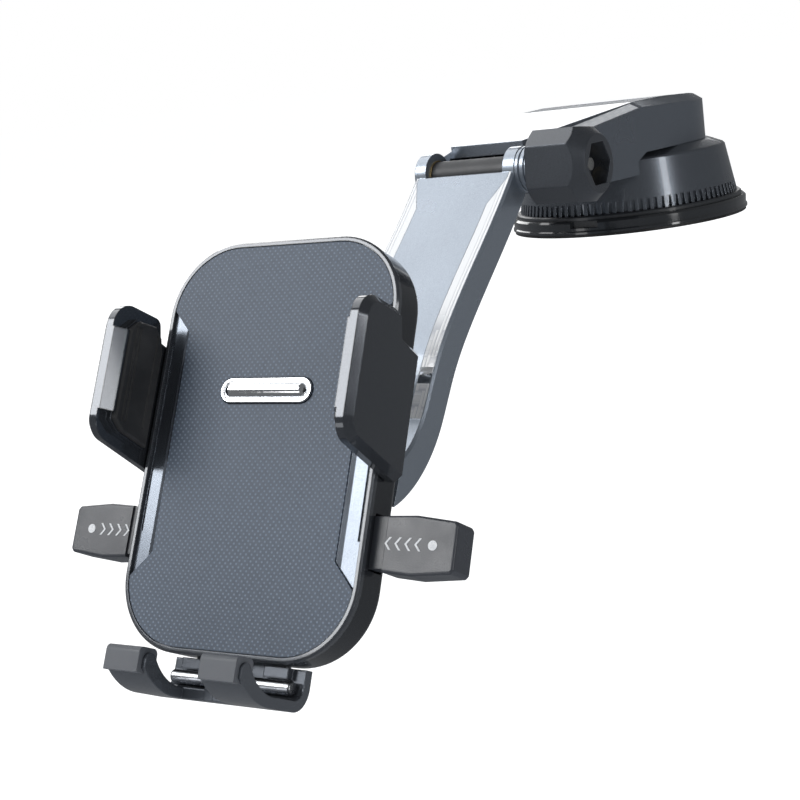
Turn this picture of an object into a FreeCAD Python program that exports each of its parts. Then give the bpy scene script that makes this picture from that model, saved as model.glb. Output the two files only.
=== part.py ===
"""Dashboard phone mount: suction base, neck, folding arm, ball joint and clamping cradle.

Frame: origin at the centre of the suction face, +Z up, the arm reaches toward -Y, +X to the right.
The cradle is built in its own frame (origin at the ball centre, face toward -Y, +Z up its face)
and is then turned by cradle_tilt and cradle_pan about the ball. Millimetres.
"""
import FreeCAD, Part
import math
import os

from FreeCAD import Placement, Rotation, Vector

# Driving dimensions: base and neck
flange_r = 40.0
gel_t = 1.0
cup_r = 36.5
flange_top = 5.2
ring_top = 6.6
skirt_r_low = 37.0
skirt_r_high = 34.2
rim_z = 22.4
shell_top = 25.0
neck_low_z = 18.4
neck_front_z = 20.0
step_y = -35.4
head_seat_r = 29.2
base_wall = 2.2
rib_count = 96
stem_r = 4.0
stem_travel = 1.2
lever_pivot_z = 34.0
cam_top = 26.9
lever_angle = 70.0
head_rear_r = 28.0
neck_half = 17.2
lip_y = -85.6
lip_z = 34.4
deck_z = 41.0
deck_front_y = -30.0
head_wall = 2.2

# Driving dimensions: hinge, knob and arm
hinge_y, hinge_z = -93.0, 28.0
tube_r = 4.2
ear_r = 6.7
ear_inner = 13.4
arm_half = 17.2
arm_t = 8.6
bolt_r = 2.5
fit_gap = 0.06
knob_x0, knob_x1 = 23.2, 41.0
knob_flat = 10.4
knob_corner = 11.5
knob_turn = 6.3
strip_x0, strip_x1, strip_t = 12.2, 16.4, 0.8

# Driving dimensions: ball joint and cradle
ball_y, ball_z = -185.0, -34.5
ball_r = 8.5
neck_r = 3.5
stud_face = 15.0
cradle_tilt, cradle_pan = 30.0, 6.0
cradle_w, cradle_h, cradle_r = 68.0, 104.4, 19.0
y_front, y_seam, y_back = -24.0, -22.2, -12.3
shell_t = 1.8
bezel = 1.3
pinion_z = 8.0
tooth_m = 1.0
pinion_teeth = 10
arm_travel = 13.0
jaw_out, jaw_in = 38.2, 34.4
jaw_front, jaw_rear = -44.1, -18.5
pad_in = 31.4
button_travel = 3.0
foot_half = 19.0

X, Y, Z = Vector(1, 0, 0), Vector(0, 1, 0), Vector(0, 0, 1)
os.makedirs("parts", exist_ok=True)


# Small building helpers
def box(x0, x1, y0, y1, z0, z1):
    return Part.makeBox(x1 - x0, y1 - y0, z1 - z0, Vector(x0, y0, z0))


def cyl(r, start, axis, length):
    return Part.makeCylinder(r, length, Vector(*start), axis)


def cyl_x(r, x0, x1, y, z):
    return cyl(r, (x0, y, z), X, x1 - x0)


def cyl_y(r, y0, y1, x, z):
    return cyl(r, (x, y0, z), Y, y1 - y0)


def cyl_z(r, z0, z1, x=0, y=0):
    return cyl(r, (x, y, z0), Z, z1 - z0)


def tube_x(r_out, r_in, x0, x1, y, z):
    return cyl_x(r_out, x0, x1, y, z).cut(cyl_x(r_in, x0 - 1, x1 + 1, y, z))


def prism(points, direction):
    loop = [Vector(*p) for p in points]
    return Part.Face(Part.makePolygon(loop + [loop[0]])).extrude(direction)


def prism_yz(points, x0, x1):
    return prism([(x0, y, z) for y, z in points], X * (x1 - x0))


def prism_xz(points, y0, y1):
    return prism([(x, y0, z) for x, z in points], Y * (y1 - y0))


def prism_xy(points, z0, z1):
    return prism([(x, y, z0) for x, y in points], Z * (z1 - z0))


def lathe(profile, centre=Vector(0, 0, 0), axis=Z):
    """Turn (radius, height) points about an axis through centre."""
    loop = [Vector(r, 0, h) for r, h in profile]
    solid = Part.Face(Part.makePolygon(loop + [loop[0]])).revolve(Vector(0, 0, 0), Z, 360)
    solid.Placement = Placement(centre, Rotation(Z, axis))
    return solid


def rounded_plate(w, h, r, y0, y1, cx=0.0, cz=0.0):
    """A rounded rectangle in XZ, extruded along Y."""
    body = box(cx - w / 2, cx + w / 2, y0, y1, cz - h / 2, cz + h / 2)
    uprights = [e for e in body.Edges if abs(e.tangentAt(e.FirstParameter).dot(Y)) > 0.99]
    return body.makeFillet(r, uprights)


def stadium(length, height, y0, y1, cz=0.0):
    return rounded_plate(length, height, height / 2 - 0.01, y0, y1, 0, cz)


def coil(r, wire, pitch, length, start, axis):
    """A helical spring, its wire swept as an octagon."""
    path = Part.makeHelix(pitch, length, r)
    corners = [Vector(r + wire * math.cos(math.radians(a)), 0, wire * math.sin(math.radians(a)))
               for a in range(0, 360, 45)]
    ring = Part.makePolygon(corners + [corners[0]])
    spring = Part.Wire(path).makePipeShell([ring], True, True)
    spring.Placement = Placement(Vector(*start), Rotation(Z, axis))
    return spring


def mirror(shape):
    return shape.mirror(Vector(0, 0, 0), X)


def both_sides(shape):
    return shape.fuse(mirror(shape))


def group(shapes):
    return Part.makeCompound(shapes)


def spline(points, x):
    curve = Part.BSplineCurve()
    curve.interpolate([Vector(x, y, z) for y, z in points])
    return curve.toShape()


def shifted(points, distance):
    """Offset a run of (y, z) points to its left-hand side."""
    out = []
    for i, (y, z) in enumerate(points):
        ay, az = points[max(i - 1, 0)]
        by, bz = points[min(i + 1, len(points) - 1)]
        length = math.hypot(by - ay, bz - az)
        out.append((y - distance * (bz - az) / length, z + distance * (by - ay) / length))
    return out


def band(upper, lower, x0, x1):
    """A curved slab between two runs of (y, z) points, from x0 to x1."""
    edges = [spline(upper, x0), spline(lower, x0)]
    for i in (0, -1):
        edges.append(Part.makeLine(Vector(x0, *upper[i]), Vector(x0, *lower[i])))
    wire = Part.Wire(Part.__sortEdges__(edges))
    return Part.Face(wire).extrude(X * (x1 - x0))


def save(name, shape, placement=None):
    solid = shape.copy()
    if placement is not None:
        solid.Placement = placement.multiply(solid.Placement)
    if not solid.isValid():
        print("NOT VALID", name)
    solid.exportStep("parts/%s.step" % name)
    print("%-22s %2d solids %9.1f mm3" % (name, len(solid.Solids), solid.Volume))


# Suction base
def gel_pad():
    return cyl_z(flange_r - 0.5, 0, gel_t)


def suction_cup():
    edge = cup_r - 0.05
    return lathe([(0, 3.2), (8, 3.2), (24, gel_t), (edge, gel_t), (edge, 2.8), (25, 2.8),
                  (9, 5.0), (0, 5.0)])


def flange_ring():
    ring = lathe([(cup_r, gel_t), (flange_r, gel_t), (flange_r, 1.7), (flange_r - 0.4, 2.1),
                  (flange_r - 0.25, 4.5), (flange_r - 0.9, flange_top), (cup_r, flange_top)])
    slot = box(-1.0, 8.5, -flange_r - 1, -flange_r + 1.8, 3.0, flange_top + 1)
    return ring.cut(slot)


def pressure_ring():
    return lathe([(32.8, 2.8), (cup_r - 0.1, 2.8), (cup_r - 0.1, flange_top), (38.3, flange_top),
                  (38.3, 6.2), (37.9, ring_top), (32.8, ring_top)])


def base_shell():
    outer = lathe([(0, ring_top), (skirt_r_low, ring_top), (skirt_r_high, rim_z),
                   (skirt_r_high - 0.5, rim_z + 0.6), (head_seat_r, shell_top), (0, shell_top)])
    inner = lathe([(0, ring_top - 1), (skirt_r_low - base_wall, ring_top - 1),
                   (skirt_r_high - base_wall, rim_z - 1.8), (head_seat_r - 1, shell_top - 2.8),
                   (0, shell_top - 2.8)])
    ceiling = shell_top - 2.3
    boss = cyl_z(7.5, 14.5, ceiling)
    posts = [cyl_z(3.2, 16, ceiling, x, y) for x, y in base_screw_places()]
    shell = outer.cut(inner).fuse([boss] + posts)
    slot = box(skirt_r_low - 1.3, skirt_r_low + 1, -0.62, 0.62, ring_top - 0.1, 10.2)
    slots = []
    for i in range(rib_count):
        s = slot.copy()
        s.rotate(Vector(0, 0, 0), Z, 360.0 * i / rib_count)
        slots.append(s)
    shell = shell.cut(group(slots))
    shell = shell.cut(cyl_z(stem_r + fit_gap, 12, 26))
    for x, y in base_screw_places():
        shell = shell.cut(cyl_z(1.55, 9, 26, x, y)).cut(cyl_z(2.8, 9, 17.5, x, y))
    return shell


def base_screw_places():
    return [(-20.5, -8.0), (20.5, -8.0), (-19.0, 12.0), (19.0, 12.0)]


def base_screws():
    return group([cyl_z(1.5, 17.5, 30.5, x, y).fuse(cyl_z(2.7, 15.7, 17.5, x, y)).cut(
        cyl_z(1.2, 15.6, 16.7, x, y)) for x, y in base_screw_places()])


def stem():
    body = cyl_z(8.0, 5.0, 6.6).fuse(cyl_z(stem_r, 6.6, lever_pivot_z - 4))
    eye = box(-2.8, 2.8, -2.8, 2.8, 29.0, lever_pivot_z).fuse(
        cyl_x(2.8, -2.8, 2.8, 0, lever_pivot_z))
    return body.fuse(eye).cut(cyl_x(1.56, -5, 5, 0, lever_pivot_z)).removeSplitter()


def stem_spring():
    return coil(5.6, 0.45, 1.75, 7.0, (0, 0, 7.1), Z)


def lever_pin():
    return cyl_x(1.5, -8.6, 8.6, 0, lever_pivot_z)


def cam_plate():
    plate = box(-10.0, 10.0, -9, 9, cam_top - 0.5, cam_top)
    return plate.cut(cyl_z(4.6, 22, 28))


def tangent_point():
    px, py = neck_half, lip_y
    reach = math.hypot(px, py)
    angle = math.atan2(py, px) + math.acos(head_rear_r / reach)
    return head_rear_r * math.cos(angle), head_rear_r * math.sin(angle)


def head_plan(inset, z0, z1):
    """The neck's outline from above: straight flanks that run into a round rear."""
    tx, ty = tangent_point()
    scale = (head_rear_r - inset) / head_rear_r
    tx, ty, rear = tx * scale, ty * scale, head_rear_r - inset
    front, half = lip_y + inset, neck_half - inset
    a, b = Vector(half, front, z0), Vector(tx, ty, z0)
    c, d = Vector(-tx, ty, z0), Vector(-half, front, z0)
    edges = [Part.makeLine(a, b), Part.Arc(b, Vector(0, rear, z0), c).toShape(),
             Part.makeLine(c, d), Part.makeLine(d, a)]
    return Part.Face(Part.Wire(edges)).extrude(Z * (z1 - z0))


def head_side(drop, y_start):
    """The neck's outline from the side: a step over the base, a rising deck, a falling rear."""
    return prism_yz([(y_start, neck_front_z), (y_start, lip_z - drop), (deck_front_y, deck_z - drop),
                     (-12.0, deck_z + 0.2 - drop), (4.0, deck_z - 0.4 - drop),
                     (30.0, deck_z - 2.8 - drop), (30.0, shell_top), (-30.4, shell_top),
                     (step_y, rim_z + 0.3), (step_y, neck_low_z), (-50.0, neck_low_z)], -40, 40)


def deck_height(y):
    return lip_z + (deck_z - lip_z) * (y - lip_y) / (deck_front_y - lip_y)


def shoulder_cut(side, sections):
    """A wedge above a sloped shoulder, between (y, inner x, deck z, fall per mm) sections."""
    loops = []
    for y, x, z, fall in sections:
        a, b = Vector(side * x, y, z), Vector(side * (x + 7), y, z - 7 * fall)
        loops.append(Part.makePolygon([a, b, b + Z * 15, a + Z * 15, a]))
    return Part.makeLoft(loops, True, True)


def head_solid():
    body = head_plan(0, 10, 50).common(head_side(0, -100))
    front, rear = lip_y - 1, -3.4
    for side in (1, -1):
        body = body.cut(shoulder_cut(side, [(front, 12.4, deck_height(front), 0.447),
                                            (deck_front_y, 20.4, deck_z, 0.505)]))
        body = body.cut(shoulder_cut(side, [(deck_front_y, 20.4, deck_z, 0.505),
                                            (rear, 24.0, deck_z, 0.69)]))
    rim = lathe([(24.0, deck_z - 0.2), (30.0, deck_z - 4.4), (30.0, 60), (24.0, 60)])
    return body.cut(rim.common(box(-40, 40, rear, 40, 20, 60)))


def lever_window(gap):
    """The opening in the deck for the lever's paddle, level with the slot in front of it."""
    half = 15.5 - gap
    a, b = Vector(half, -2.5 + gap, 30), Vector(half, 12, 30)
    c, d = Vector(-half, 12, 30), Vector(-half, -2.5 + gap, 30)
    rear = 24.0 - gap
    edges = [Part.makeLine(a, b), Part.Arc(b, Vector(0, rear, 30), c).toShape(),
             Part.makeLine(c, d), Part.makeLine(d, a)]
    return Part.Face(Part.Wire(edges)).extrude(Z * 20)


def finger_slot():
    slot = box(-17, 17, -13.0, -1.5, 30, 50)
    return slot.makeFillet(5.2, [e for e in slot.Edges
                                 if abs(e.tangentAt(e.FirstParameter).z) > 0.99
                                 and e.CenterOfMass.y < -10])


def head_strip(side):
    """A thin inlay along one sloped shoulder of the neck."""
    loops = []
    for y, x0, x1, inner, fall in ((lip_y + 1.4, 13.1, 16.6, 12.6, 0.45), (-32.0, 20.7, 23.6, 20.2, 0.505)):
        top = [Vector(side * x, y, deck_height(y) - fall * (x - inner) + 0.04) for x in (x0, x1)]
        down = Vector(-side * 0.35, 0, -0.75)
        loops.append(Part.makePolygon([top[0], top[1], top[1] + down, top[0] + down, top[0]]))
    return Part.makeLoft(loops, True, True)


def name_plate():
    plate = box(-1.5, 4.5, -11.0, 11.0, -0.7, 0.3)
    rise = math.degrees(math.atan2(deck_z - lip_z, deck_front_y - lip_y))
    plate.rotate(Vector(0, 0, 0), X, rise)
    plate.translate(Vector(0, -44, deck_height(-44)))
    return plate.common(head_solid())


def upper_housing():
    body = head_solid()
    cavity = head_plan(head_wall, 10, 50).common(head_side(2.6, lip_y + 3.5))
    for s in (1, -1):
        cavity = cavity.cut(shoulder_cut(s, [(-90, 8.5, 31.6, 0.447), (deck_front_y, 17.0, 38.4, 0.505),
                                             (30, 23.0, 37.6, 0.69)]))
    body = body.cut(cavity).cut(box(-13.4, 13.4, -90, -80, 10, lip_z - 2.2))
    body = body.cut(head_plan(head_wall, 10, neck_front_z + 2.5))
    body = body.cut(finger_slot()).cut(lever_window(0))
    body = body.cut(box(-8, 8, 22, 30, deck_z - 6.4, 50))
    body = body.cut(group([head_strip(1), head_strip(-1), name_plate()]))
    posts = [cyl_z(2.9, cam_top, 41.0, x, y).common(head_solid()) for x, y in base_screw_places()]
    body = body.fuse(posts)
    for x, y in base_screw_places():
        body = body.cut(cyl_z(1.5, 25, 30.6, x, y))
    return body


def lock_lever():
    above = head_side(2.8, -100)
    paddle = head_solid().common(lever_window(0.35)).cut(above)
    lip = box(-7.6, 7.6, 20, 28.4, deck_z - 6.0, deck_z + 3).common(head_side(0, -100)).cut(above)
    eccentric = stem_travel / (1 - math.cos(math.radians(lever_angle)))
    cam_r = lever_pivot_z - cam_top - 0.4 - eccentric
    cheeks = []
    for x0, x1 in ((-8.2, -4.2), (4.2, 8.2)):
        lobe = cyl_x(cam_r, x0, x1, 0, lever_pivot_z - eccentric)
        web = prism_yz([(-1.8, 38.8), (9.0, 38.4), (5.0, 32.0), (-cam_r + 0.6, 32.0)], x0, x1)
        cheeks.append(lobe.fuse(web).cut(cyl_x(1.56, x0 - 1, x1 + 1, 0, lever_pivot_z)))
    return paddle.fuse([lip] + cheeks).removeSplitter()


def neck_frame():
    """The floor of the neck, stepped over the base, with the hinge tube on its front edge."""
    edge = head_plan(head_wall + 0.1, 10, 50)
    profile = prism_yz([(lip_y + 2.4, neck_front_z), (-50, neck_low_z), (step_y, neck_low_z),
                        (step_y, rim_z + 0.4), (-30.4, shell_top), (30, shell_top),
                        (30, cam_top - 0.5), (-32, cam_top - 0.5), (step_y - 2, rim_z + 2.0),
                        (step_y - 2, neck_low_z + 2), (-50, neck_low_z + 2),
                        (lip_y + 2.4, neck_front_z + 2.4)], -40, 40)
    floor = edge.common(profile).cut(cyl_z(4.7, 19, 30))
    for x, y in base_screw_places():
        floor = floor.cut(cyl_z(1.6, 19, 30, x, y))
    tube = cyl_x(tube_r, -12.9, 12.9, hinge_y, hinge_z)
    web = prism_yz([(lip_y + 9, 21.4), (lip_y + 9, 26.0), (hinge_y + 1, hinge_z + 2.6),
                    (hinge_y - 1, hinge_z - 3.2), (lip_y + 2.3, 20.4)], -12.6, 12.6)
    body = floor.fuse([tube, web]).removeSplitter()
    return body.cut(cyl_x(bolt_r + fit_gap, -20, 20, hinge_y, hinge_z))


# Arm
front_run = [(-98.4, 29.6), (-107.0, 21.3), (-120.0, 10.2), (-137.0, -4.2), (-147.0, -14.4),
             (-153.0, -22.4), (-158.0, -29.0), (-163.5, -33.8), (-168.9, -36.4)]


def rear_run():
    run = shifted(front_run, arm_t)
    return run[:-2] + [(-169.0, -46.4), (-175.4, -47.7)]


def in_hinge_gap():
    """Room between the ears for the hinge tube and its web."""
    room = cyl_x(tube_r + 0.6, -13.35, 13.35, hinge_y, hinge_z)
    behind = box(-13.35, 13.35, hinge_y - 1, hinge_y + 20, 10, 45)
    above = box(-13.35, 13.35, hinge_y - 12, hinge_y + 1, hinge_z + 0.2, 45)
    return room.fuse([behind, above])


def arm_body():
    front, rear = front_run, rear_run()
    body = band(front, rear, -arm_half, arm_half)
    top_fill = prism_yz([front[0], rear[0], (-93.0, hinge_z - ear_r), (-95.0, hinge_z)],
                        -arm_half, arm_half)
    ears = cyl_x(ear_r, -arm_half, arm_half, hinge_y, hinge_z)
    body = body.fuse([top_fill, ears]).removeSplitter()
    outline = [e for e in body.Edges if e.Curve.TypeId == "Part::GeomBSplineCurve"
               and e.CenterOfMass.distanceToPoint(Vector(arm_half, -134, -6)) < 9]
    outline += [e for e in body.Edges if e.Curve.TypeId == "Part::GeomBSplineCurve"
                and e.CenterOfMass.distanceToPoint(Vector(-arm_half, -134, -6)) < 9]
    body = body.makeChamfer(0.7, outline[:2]) if len(outline) == 2 else body
    boss = cyl_x(ear_r - 0.2, arm_half - 0.1, 21.6, hinge_y, hinge_z)
    for x in (18.3, 20.0):
        boss = boss.cut(tube_x(ear_r + 1, ear_r - 0.7, x, x + 0.5, hinge_y, hinge_z))
    body = body.fuse(boss).cut(in_hinge_gap())
    pocket = band(shifted(front, 2.4)[1:-1], shifted(front, arm_t + 1.0)[1:-1], -14.4, 14.4)
    keep = [cyl(5.2, stud_point(12), stud_axis(), 16)]
    keep += [prism_yz([(-200, z + 2.5), (-80, z + 2.5), (-80, z - 2.5), (-200, z - 2.5)], -14.4, 14.4)
             for z in (12.0, -10.0)]
    lower = cyl_x(13.5, -15, 15, -172, -40)
    body = body.cut(pocket.cut(group(keep[:1])).cut(lower))
    body = body.cut(cover_blank())
    body = body.cut(group([arm_strip(1), arm_strip(-1)]))
    body = body.cut(cyl_x(bolt_r + fit_gap, -20, 24, hinge_y, hinge_z))
    body = body.cut(cyl_x(4.7, -arm_half - 1, -arm_half + 1.6, hinge_y, hinge_z))
    body = body.cut(cyl(4.0, stud_point(stud_face - 1), stud_axis(), 5.0))
    body = body.cut(cyl(1.6, stud_point(stud_face + 3), stud_axis(), 12))
    return body.cut(cyl(3.2, stud_point(stud_face + 6.4), stud_axis(), 12))


def cover_blank():
    front = front_run
    return band(shifted(front, arm_t - 1.5)[1:-2], shifted(front, arm_t + 0.4)[1:-2], -14.4, 14.4)


def arm_back_cover():
    cover = cover_blank().common(band(front_run, rear_run(), -14.3, 14.3))
    for place in cover_screw_places():
        cover = cover.cut(cover_screw(place, 0.05))
    return cover


def cover_screw_places():
    rear = shifted(front_run, arm_t)
    return [(rear[i], rear[i + 1]) for i in (1, 4)]


def cover_screw(place, gap=0.0):
    (ay, az), (by, bz) = place
    run = Vector(0, by - ay, bz - az).normalize()
    inward = Vector(0, run.z, -run.y)
    if inward.y > 0:
        inward = inward * -1
    start = Vector(0, (ay + by) / 2, (az + bz) / 2) + inward * 0.25
    head = Part.makeCylinder(2.1 + gap, 0.8, start - inward * (0.0 if not gap else 0.6), inward)
    if gap:
        head = Part.makeCylinder(2.1 + gap, 1.4, start - inward * 0.6, inward)
    return head.fuse(Part.makeCylinder(1.1 + gap, 3.5, start, inward))


def arm_cover_screws():
    return group([cover_screw(p) for p in cover_screw_places()])


def arm_strip(side):
    run = front_run[:-2]
    slab = band(shifted(run, -0.02), shifted(run, strip_t), strip_x0, strip_x1)
    slab = slab.common(band(front_run, rear_run(), 0, arm_half))
    taper = prism_yz([(-80, 45), (-80, 12), (-99.6, 12), (-99.6, 45)], 0, 30)
    cut_end = prism_xy([(strip_x1 - 0.6, -95), (strip_x1 - 0.6, -101), (strip_x0 - 0.5, -109),
                        (strip_x0 - 0.5, -95)], -10, 45)
    slab = slab.cut(taper).cut(cut_end)
    return slab if side > 0 else mirror(slab)


def hinge_bolt():
    shaft = cyl_x(bolt_r, -arm_half + 1.6, 36.5, hinge_y, hinge_z)
    head = cyl_x(4.5, -arm_half + 0.2, -arm_half + 1.6, hinge_y, hinge_z)
    tip = cyl_x(1.8, 36.5, 38.4, hinge_y, hinge_z)
    drive = prism([(-arm_half, hinge_y + 1.7 * math.cos(math.radians(a)),
                    hinge_z + 1.7 * math.sin(math.radians(a))) for a in range(0, 360, 60)], X * 1.0)
    return shaft.fuse([head, tip]).cut(drive)


def friction_washers():
    return group([tube_x(4.6, bolt_r + fit_gap, x, x + 0.4, hinge_y, hinge_z)
                  for x in (-13.35, 12.95)])


def clamp_knob():
    corners = []
    half = math.sqrt(knob_corner ** 2 * 2) - knob_flat
    for i in range(4):
        for u, v in ((knob_flat, -half), (knob_flat, half)):
            a = math.radians(90 * i)
            corners.append((u * math.cos(a) - v * math.sin(a), u * math.sin(a) + v * math.cos(a)))
    body = prism([(knob_x0, y, z) for y, z in corners], X * (knob_x1 - knob_x0))
    cone = lathe([(0, 0), (8.2, 0), (12.6, 5.2), (12.6, 17), (11.4, 17.8), (0, 17.8)],
                 Vector(knob_x1, 0, 0), X * -1)
    body = body.common(cone)
    body.rotate(Vector(0, 0, 0), X, -knob_turn)
    recess = prism([(knob_x1 - 6.0, 6.7 * math.cos(math.radians(a)), 6.7 * math.sin(math.radians(a)))
                    for a in range(0, 360, 60)], X * 7)
    body = body.cut(recess)
    body.translate(Vector(0, hinge_y, hinge_z))
    return body.cut(cyl_x(4.2, knob_x0 - 1, knob_x1 - 5, hinge_y, hinge_z))


def knob_insert():
    return tube_x(4.2, bolt_r + fit_gap, knob_x0 + 0.4, knob_x1 - 6.0, hinge_y, hinge_z)


def thrust_washer():
    return tube_x(6.2, bolt_r + fit_gap, 21.66, knob_x0 - 0.06, hinge_y, hinge_z)


# Ball joint, placed along the cradle's own Y axis through the ball centre
def cradle_placement():
    turn = Rotation(Z, cradle_pan).multiply(Rotation(X, -cradle_tilt))
    return Placement(Vector(0, ball_y, ball_z), turn)


def stud_axis():
    tilt = math.radians(cradle_tilt)
    return Vector(0, math.cos(tilt), -math.sin(tilt))


def stud_point(distance):
    return Vector(0, ball_y, ball_z) + stud_axis() * distance


def ball_stud():
    face = stud_face - 0.2
    ball = Part.makeSphere(ball_r, stud_point(0))
    neck = Part.makeCylinder(neck_r, 12, stud_point(0), stud_axis())
    collar = lathe([(0, 9.5), (neck_r, 9.5), (6.2, 12.6), (6.2, face), (3.94, face),
                    (3.94, stud_face + 3.9), (0, stud_face + 3.9)], stud_point(0), stud_axis())
    stud = ball.fuse([neck, collar]).removeSplitter()
    return stud.cut(Part.makeCylinder(1.35, 9, stud_point(11), stud_axis()))


def stud_screw():
    shank = Part.makeCylinder(1.3, stud_face + 6.4 - 12, stud_point(12), stud_axis())
    head = Part.makeCylinder(3.0, 1.5, stud_point(stud_face + 6.4), stud_axis())
    return shank.fuse(head)


def ball_liner(a0, a1):
    """A thin cup between two polar angles, measured at the ball's centre from +Y."""
    def ring(r, a):
        return Vector(r * math.sin(math.radians(a)), r * math.cos(math.radians(a)), 0)
    r_in, r_out = ball_r + 0.1, ball_r + 1.0
    mid = (a0 + a1) / 2
    outer = Part.Arc(ring(r_out, a0), ring(r_out, mid), ring(r_out, a1)).toShape()
    inner = Part.Arc(ring(r_in, a0), ring(r_in, mid), ring(r_in, a1)).toShape()
    ends = [Part.makeLine(ring(r_in, a), ring(r_out, a)) for a in (a0, a1)]
    face = Part.Face(Part.Wire(Part.__sortEdges__([outer, inner] + ends)))
    return face.revolve(Vector(0, 0, 0), Y, 360)


socket_r = ball_r + 1.1


def ball_socket():
    body = cyl_y(15.5, y_back, y_back + 1.8, 0, 0).fuse(cyl_y(12.6, y_back, 0.5, 0, 0))
    body = body.cut(Part.makeSphere(socket_r))
    for x, z in socket_screw_places():
        body = body.cut(cyl_y(1.1, y_back - 1, y_back + 3, x, z))
    return body


def socket_screw_places():
    return [(14.0 * math.cos(math.radians(a)), 14.0 * math.sin(math.radians(a)))
            for a in (30, 150, 270)]


def socket_screws():
    return group([cyl_y(1.05, y_back - 1.6, y_back + 1.8, x, z).fuse(
        cyl_y(1.4, y_back + 1.8, y_back + 2.6, x, z)) for x, z in socket_screw_places()])


def collar_nut():
    body = cyl_y(15.2, -7.6, 6.0, 0, 0)
    body = body.makeChamfer(1.4, [e for e in body.Edges if e.CenterOfMass.y > 5 and e.Closed])
    for i in range(20):
        a = math.radians(18 * i)
        body = body.cut(cyl_y(1.1, -9, 4.0, 15.7 * math.cos(a), 15.7 * math.sin(a)))
    cavity = lathe([(0, -9), (12.68, -9), (12.68, 0.6), (9.8, 0.6), (9.8, 3.0), (8.8, 4.8), (7.6, 4.9),
                    (7.6, 8), (0, 8)], Vector(0, 0, 0), Y)
    return body.cut(cavity)


# Cradle, in its own frame
def case_screw_places():
    return [(x, z) for x in (-20.0, 20.0) for z in (-41.0, 41.0)]


def rear_shell():
    body = rounded_plate(cradle_w, cradle_h, cradle_r, y_seam, y_back)
    rim = [e for e in body.Edges if e.CenterOfMass.y > y_back - 0.01]
    body = body.makeFillet(2.6, rim)
    body = body.cut(rounded_plate(cradle_w - 2 * shell_t, cradle_h - 2 * shell_t,
                                  cradle_r - shell_t, y_seam - 1, y_back - shell_t))
    inner = y_back - shell_t
    posts = [cyl_y(3.0, y_seam, inner + 0.5, x, z) for x, z in case_screw_places()]
    ribs = [box(-3, 20, -20.6, inner + 0.3, 19.4, 20.8), box(-8, 8, -20.6, inner + 0.3, -4.8, -3.4)]
    ribs += [box(s * 18.6 - 0.6, s * 18.6 + 0.6, -20.6, inner + 0.3, -27.6, -22.4) for s in (1, -1)]
    ribs += [box(s * 13.7 - 0.6, s * 13.7 + 0.6, -17.2, inner + 0.3, -50.6, -30.5) for s in (1, -1)]
    ribs += [cyl_y(2.3, inner - 1.5, inner + 0.3, s * 13.0, -8.0) for s in (1, -1)]
    ribs.append(cyl_y(3.2, -15.7, inner + 0.3, 0, pinion_z))
    body = body.fuse(posts + ribs)
    for s in (1, -1):
        x0, x1 = sorted((s * 30.0, s * 36.0))
        body = body.cut(box(x0, x1, -20.9, -17.9, -4.4, 21.4))
        body = body.cut(box(x0, x1, -20.8, -14.9, -29.2, -15.8))
        body = body.cut(cyl_y(1.16, -18, inner, s * 13.0, -8.0))
    body = body.cut(box(-13.1, 13.1, -17.4, -14.1, -54, -48))
    body = body.cut(cyl_y(1.56, -23, inner, 0, pinion_z))
    for x, z in case_screw_places():
        body = body.cut(cyl_y(1.32, -24, y_back + 1, x, z)).cut(cyl_y(2.5, y_back - 1.7, y_back + 1, x, z))
    for x, z in socket_screw_places():
        body = body.cut(cyl_y(1.1, y_back - 2, y_back + 1, x, z))
    return body


def case_screws():
    return group([cyl_y(1.25, -22.9, y_back - 1.7, x, z).fuse(
        cyl_y(2.4, y_back - 1.7, y_back - 0.2, x, z)) for x, z in case_screw_places()])


def trim_outline(side, grow=0.0):
    """The wedge cut out of the cradle's front along one flank."""
    return prism_xz([(side * (33.2 + grow), 35.2 + grow), (side * (27.2 - grow), 28.6 + grow),
                     (side * (26.8 - grow), -28.0 - grow), (side * (33.2 + grow), -35.2 - grow)],
                    y_front - 1, y_seam)


def front_frame():
    body = rounded_plate(cradle_w, cradle_h, cradle_r, y_front, y_seam)
    front_rim = [e for e in body.Edges if e.CenterOfMass.y < y_front + 0.01]
    body = body.makeChamfer(0.5, front_rim)
    body = body.cut(pad_outline(y_front - 1, y_front + 1.1))
    for s in (1, -1):
        body = body.cut(trim_outline(s).common(rounded_plate(
            cradle_w - 2 * bezel, cradle_h - 2 * bezel, cradle_r - bezel, y_front - 1, y_seam)))
    body = body.cut(stadium(27.4, 6.8, y_front, y_seam + 1, 12.9))
    for x, z in case_screw_places():
        body = body.cut(cyl_y(1.32, y_front + 1.0, y_seam + 1, x, z))
    return body


def pad_outline(y0, y1, gap=0.0):
    return rounded_plate(cradle_w - 2 * (bezel + gap), cradle_h - 2 * (bezel + gap),
                         cradle_r - bezel - gap, y0, y1)


def front_pad():
    body = pad_outline(y_front + 0.15, y_front + 1.1, 0.15)
    for s in (1, -1):
        body = body.cut(trim_outline(s, 0.1))
    return body.cut(stadium(27.4, 6.8, y_front - 1, y_seam, 12.9))


def side_trim(side):
    inside = rounded_plate(cradle_w - 2 * bezel, cradle_h - 2 * bezel, cradle_r - bezel,
                           y_front - 1, y_seam)
    body = trim_outline(side).common(inside)
    floor = prism_xy([(side * 26.5, y_front + 0.35), (side * 28.2, y_front + 0.75),
                      (side * 32.2, y_front + 0.95), (side * 34, y_front + 0.95),
                      (side * 34, y_front - 2), (side * 26.5, y_front - 2)], -40, 40)
    groove = box(*sorted((side * 31.6, side * 32.1)), y_front, y_front + 1.35, -23, 26)
    return body.cut(floor).cut(groove)


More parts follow.
